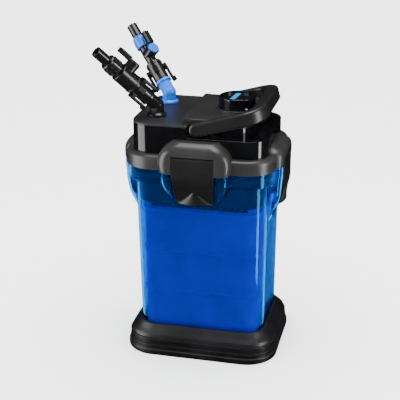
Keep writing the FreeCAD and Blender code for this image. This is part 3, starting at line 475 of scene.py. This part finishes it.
def block_outline(low, high):
    """Outline of a media block: a rounded rectangle with an open notch for the intake tube."""
    points = []
    left, right = low.x + BLOCK_ROUND, high.x - BLOCK_ROUND
    front, rear = low.y + BLOCK_ROUND, high.y - BLOCK_ROUND
    for x, y, start in ((right, rear, 0), (left, rear, 90), (left, front, 180), (right, front, 270)):
        if start == 180:
            points.append((low.x, TUBE.y + TUBE_GAP))
            points += [(TUBE.x + TUBE_GAP * math.cos(a), TUBE.y + TUBE_GAP * math.sin(a))
                       for a in (math.radians(turn) for turn in range(90, -91, -NOTCH_STEP))]
        for turn in range(start, start + 91, CORNER_STEP):
            a = math.radians(turn)
            px, py = x + BLOCK_ROUND * math.cos(a), y + BLOCK_ROUND * math.sin(a)
            if px > TUBE.x or abs(py - TUBE.y) > TUBE_GAP:
                points.append((px, py))
    return points


def depth_inside(x, y, low, high):
    """How far a point lies inside that outline."""
    middle, half = (low + high) / 2, (high - low) / 2
    dx = abs(x - middle.x) - half.x + BLOCK_ROUND
    dy = abs(y - middle.y) - half.y + BLOCK_ROUND
    edge = BLOCK_ROUND - math.hypot(max(dx, 0.0), max(dy, 0.0)) - min(max(dx, dy), 0.0)
    return min(edge, math.hypot(max(x - TUBE.x, 0.0), y - TUBE.y) - TUBE_GAP)


def new_piece(name, data, node, material):
    """A piece that takes a node's place on the filter's body."""
    piece = bpy.data.objects.new(name, data)
    bpy.context.scene.collection.objects.link(piece)
    data.materials.clear()
    data.materials.append(materials[material])
    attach(piece, "filter_body")
    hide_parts(node)
    return piece


def dense_block(low, high, voxel):
    """The block as an even, closed mesh."""
    outline = block_outline(low, high)
    count = len(outline)
    points = [(x, y, z) for z in (low.z, high.z) for x, y in outline]
    faces = [tuple(reversed(range(count))), tuple(range(count, 2 * count))]
    faces += [(i, (i + 1) % count, count + (i + 1) % count, count + i) for i in range(count)]
    mesh = bpy.data.meshes.new("block")
    mesh.from_pydata(points, [], faces)
    holder = bpy.data.objects.new("block", mesh)
    bpy.context.scene.collection.objects.link(holder)
    remesh = holder.modifiers.new("remesh", "REMESH")
    remesh.mode, remesh.voxel_size = "VOXEL", voxel
    dense = bpy.data.meshes.new_from_object(holder.evaluated_get(bpy.context.evaluated_depsgraph_get()))
    bpy.data.objects.remove(holder)
    bpy.data.meshes.remove(mesh)
    return dense


def soft_block(node, name, material, voxel, rim_width, rim_height, lump):
    """A soft block: its faces fall away to the rim, and lump(place) pushes the surface in or out."""
    low, high = (Vector(corner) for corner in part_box(node))
    mesh = dense_block(low, high, voxel)
    middle = (low.z + high.z) / 2
    normals = [Vector(n.vector) for n in mesh.vertex_normals]
    for vertex, normal in zip(mesh.vertices, normals):
        place = vertex.co.copy()
        rise = 1.0 - min(1.0, max(0.0, depth_inside(place.x, place.y, low, high)) / rim_width)
        swell = rim_height + (1.0 - rim_height) * math.sqrt(1.0 - rise * rise)
        vertex.co.z = middle + (place.z - middle) * swell
        vertex.co += normal * lump(place)
    mesh.shade_smooth()
    piece = new_piece(name, mesh, node, material)


def grain_lumps(place):
    """Carbon granules pressing through the cloth, and the bag's slack."""
    near = noise.voronoi(place / GRANULE_SIZE)[0][0]
    return SLACK_DEPTH * noise.noise(place / SLACK_SIZE) - GRANULE_DEPTH * min(1.0, near)


def pores(place):
    """Open cells of reticulated foam."""
    near, second = noise.voronoi(place / PORE_SIZE)[0][:2]
    return -PORE_DEPTH * min(1.0, max(0.0, 1.0 - PORE_STEEPNESS * (second - near)))


def fluff(place):
    """Tufts of loose fibre."""
    return FLUFF_DEPTH * noise.fractal(place / FLUFF_SIZE, 0.8, 2.1, 4) - FLUFF_DEPTH


def bag_hem(node):
    """The sewn cord round the bag's rim."""
    low, high = (Vector(corner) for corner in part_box(node))
    curve = bpy.data.curves.new("carbon_bag_hem", "CURVE")
    curve.dimensions = "3D"
    curve.bevel_depth, curve.bevel_resolution = HEM_RADIUS, 3
    spline = curve.splines.new("NURBS")
    outline = block_outline(low, high)
    spline.points.add(len(outline) - 1)
    for point, (x, y) in zip(spline.points, outline):
        point.co = (x, y, (low.z + high.z) / 2, 1.0)
    spline.order_u, spline.use_cyclic_u = 3, True
    new_piece("carbon_bag_hem", curve, node, "carbon_cloth")


RING_OUTER, RING_BORE, RING_LENGTH, RING_CHAMFER = 0.0052, 0.0026, 0.0100, 0.0006
RING_SIDES = 14
RING_SHARP = math.radians(40)     # edges bent further than this are not smoothed
RING_CELL = 0.0147                # room for one ring, whichever way it lies
RING_SEED = 7


def ring_template():
    """Points and faces of one ring about Z."""
    outer, bore, half, cut = RING_OUTER, RING_BORE, RING_LENGTH / 2, RING_CHAMFER
    profile = ((outer, half - cut), (outer - cut, half), (bore + cut, half), (bore, half - cut),
               (bore, cut - half), (bore + cut, -half), (outer - cut, -half), (outer, cut - half))
    points, faces = [], []
    for i in range(RING_SIDES):
        a = math.tau * i / RING_SIDES
        points += [Vector((r * math.cos(a), r * math.sin(a), z)) for r, z in profile]
    count = len(profile)
    for i in range(RING_SIDES):
        here, there = i * count, (i + 1) % RING_SIDES * count
        faces += [(here + k, here + (k + 1) % count, there + (k + 1) % count, there + k)
                  for k in range(count)]
    return points, faces


def ceramic_rings():
    """Loose ceramic rings that fill the lower basket, each tipped its own way."""
    low, high = (Vector(corner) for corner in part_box("ceramic_media"))
    draw = random.Random(RING_SEED)
    template, template_faces = ring_template()
    counts = [round((high - low)[axis] / RING_CELL) for axis in range(3)]
    cell = [(high - low)[axis] / counts[axis] for axis in range(3)]
    points, faces = [], []
    for layer, row, column in itertools.product(*(range(n) for n in reversed(counts))):
        middle = [(step + 0.5) * size for step, size in zip((column, row, layer), cell)]
        place = low + Vector(middle)
        turn = Euler([draw.uniform(0, math.tau) for _ in range(3)]).to_matrix()
        if depth_inside(place.x, place.y, low, high) < RING_OUTER:
            continue
        first = len(points)
        points += [place + turn @ point for point in template]
        faces += [tuple(first + k for k in face) for face in template_faces]
    mesh = bpy.data.meshes.new("ceramic_rings")
    mesh.from_pydata(points, [], faces)
    mesh.shade_smooth()
    mesh.set_sharp_from_angle(angle=RING_SHARP)
    new_piece("ceramic_rings", mesh, "ceramic_media", "ceramic")


def add_media():
    """The baskets' contents, from the lowest up."""
    ceramic_rings()
    soft_block("carbon_bag", "carbon_bag_cloth", "carbon_cloth", voxel=0.0018, rim_width=0.034,
               rim_height=0.24, lump=grain_lumps)
    bag_hem("carbon_bag")
    soft_block("coarse_sponge", "sponge_block", "sponge", voxel=0.0016, rim_width=0.003,
               rim_height=0.90, lump=pores)
    soft_block("polishing_floss", "floss_pad", "floss", voxel=0.0018, rim_width=0.009,
               rim_height=0.62, lump=fluff)


# ---------------------------------------------------------------- primer bellows

BELLOWS_FOLDS, BELLOWS_WALL, BELLOWS_SWELL = 6, 0.0012, 0.0015
BELLOWS_SIDES, BELLOWS_STEPS = 56, 10       # points round the bellows, and along each fold
BELLOWS_SHARP = math.radians(50)


def add_bellows():
    """Rubber bellows under the primer button."""
    low, high = (Vector(corner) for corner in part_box("primer_bellows"))
    axis, length = (low + high) / 2, high.z - low.z
    middle_r = (high.x - low.x) / 2 - BELLOWS_SWELL
    steps = BELLOWS_FOLDS * BELLOWS_STEPS
    outer = [(middle_r - BELLOWS_SWELL * math.cos(math.tau * i / BELLOWS_STEPS), low.z + length * i / steps)
             for i in range(steps + 1)]
    profile = outer + [(r - BELLOWS_WALL, z) for r, z in reversed(outer)]
    count = len(profile)
    points, faces = [], []
    for side in range(BELLOWS_SIDES):
        a = math.tau * side / BELLOWS_SIDES
        points += [(axis.x + r * math.cos(a), axis.y + r * math.sin(a), z) for r, z in profile]
        here, there = side * count, (side + 1) % BELLOWS_SIDES * count
        faces += [(here + k, there + k, there + (k + 1) % count, here + (k + 1) % count)
                  for k in range(count)]
    mesh = bpy.data.meshes.new("primer_bellows_rubber")
    mesh.from_pydata(points, [], faces)
    mesh.shade_smooth()
    mesh.set_sharp_from_angle(angle=BELLOWS_SHARP)
    bellows = new_piece("primer_bellows_rubber", mesh, "primer_bellows", "seal_rubber")
    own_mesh(bellows)


add_camera()
softbox, strip = add_studio()
materials = make_materials()
dress_frame(materials)
add_media()
add_bellows()
# The side boxes leave the floor out, where they would draw a line, and the wide one leaves the canister
# out, whose flat walls would mirror it as a pale panel.
canister = NODES["canister"]
shine_on(softbox, [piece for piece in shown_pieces() if piece != canister])
shine_on(strip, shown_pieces())
